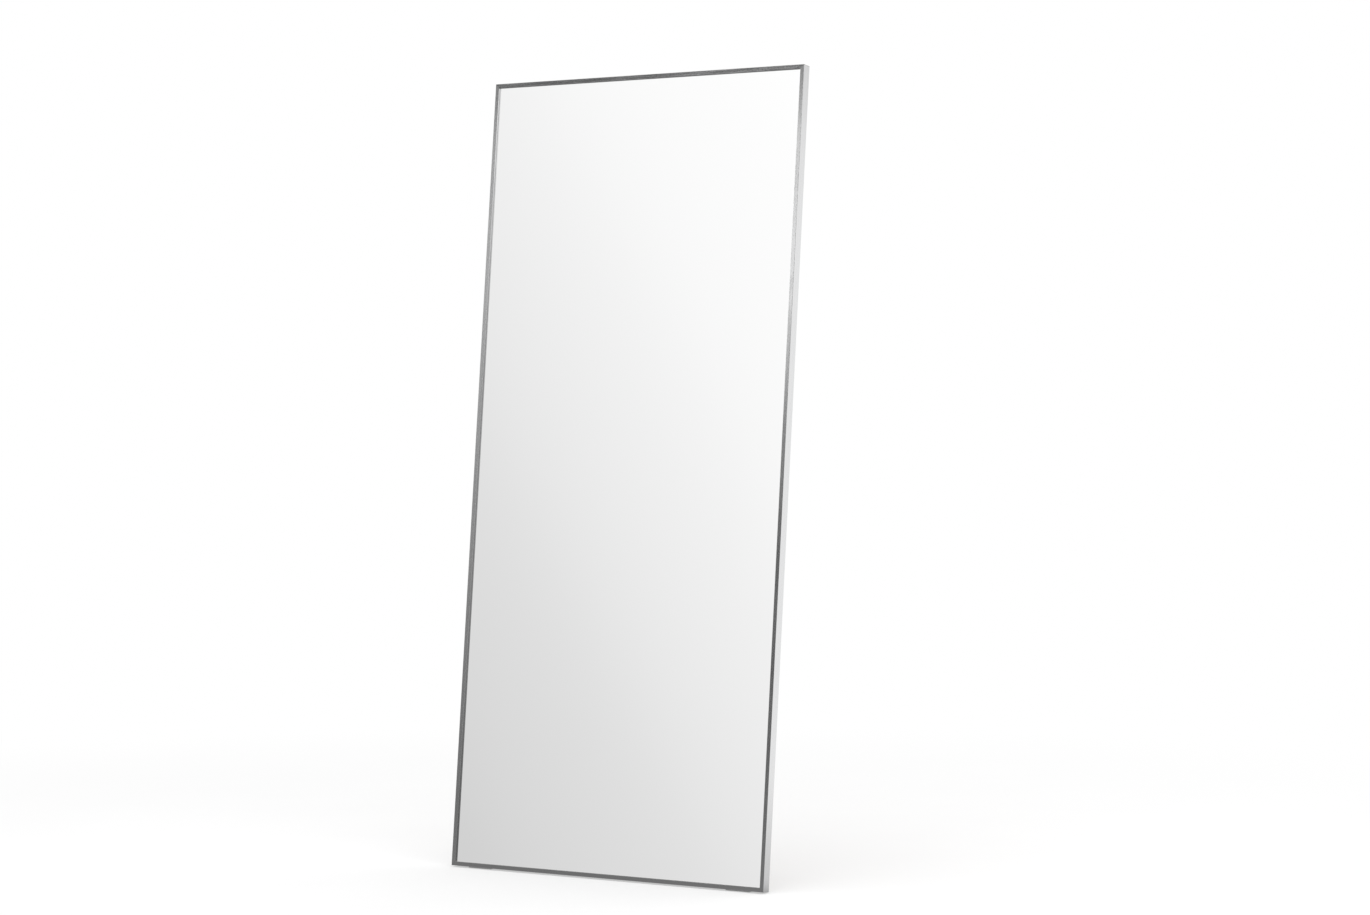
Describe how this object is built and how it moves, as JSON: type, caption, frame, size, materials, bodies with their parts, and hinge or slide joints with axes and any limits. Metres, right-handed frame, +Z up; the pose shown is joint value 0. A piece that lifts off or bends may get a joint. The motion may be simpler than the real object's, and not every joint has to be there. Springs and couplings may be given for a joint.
{
  "type": "full-length mirror",
  "caption": "Tall floor mirror in a slim mitred metal frame. It leans back on a tube stand that folds flat behind it, and keyholes let it hang on a wall.",
  "frame": {"origin": "on the floor, under the middle of the bounding box of the standing mirror", "axes": "+X to the right as seen by someone who looks at the glass, +Y from the glass to the back, +Z up"},
  "size_m": [0.813, 0.256, 1.797],
  "materials": {
    "frame_aluminium": "satin",
    "mirror": "polished",
    "film": "gloss",
    "foam": "matte",
    "board": "matte",
    "zinc_steel": "satin",
    "stand_paint": "satin",
    "plug_nylon": "matte",
    "black_rubber": "matte",
    "pale_rubber": "matte"
  },
  "bodies": {
    "mirror": {"top_rail": "frame_aluminium", "bottom_rail": "frame_aluminium", "left_rail": "frame_aluminium", "right_rail": "frame_aluminium", "mirror_glass": "mirror", "safety_film": "film", "foam_sheet": "foam", "backing_board": "board", "glass_gasket": "black_rubber", "corner_key_top_left": "zinc_steel", "corner_key_top_right": "zinc_steel", "corner_key_bottom_left": "zinc_steel", "corner_key_bottom_right": "zinc_steel", "corner_key_screws": "zinc_steel", "hanging_bar": "zinc_steel", "upper_crossbar": "zinc_steel", "lower_crossbar": "zinc_steel", "crossbar_screws": "zinc_steel", "channel_nuts": "zinc_steel", "hinge_bracket_left": "zinc_steel", "hinge_bracket_right": "zinc_steel", "bracket_screws": "zinc_steel", "hinge_pin_left": "zinc_steel", "hinge_pin_right": "zinc_steel", "pin_clips": "zinc_steel", "stand_rests": "black_rubber", "floor_pad_left": "pale_rubber", "floor_pad_right": "pale_rubber", "wall_bumpers": "pale_rubber"},
    "stand": {"stand_frame": "stand_paint", "stand_end_plugs": "plug_nylon", "stand_foot_left": "black_rubber", "stand_foot_right": "black_rubber"}
  },
  "joints": [
    {"name": "stand_fold", "type": "hinge", "parent": "mirror", "child": "stand", "pos_m": [0, 0.01258, 0.99427], "axis": [-1, 0, 0], "range_deg": [0, 12]}
  ]
}
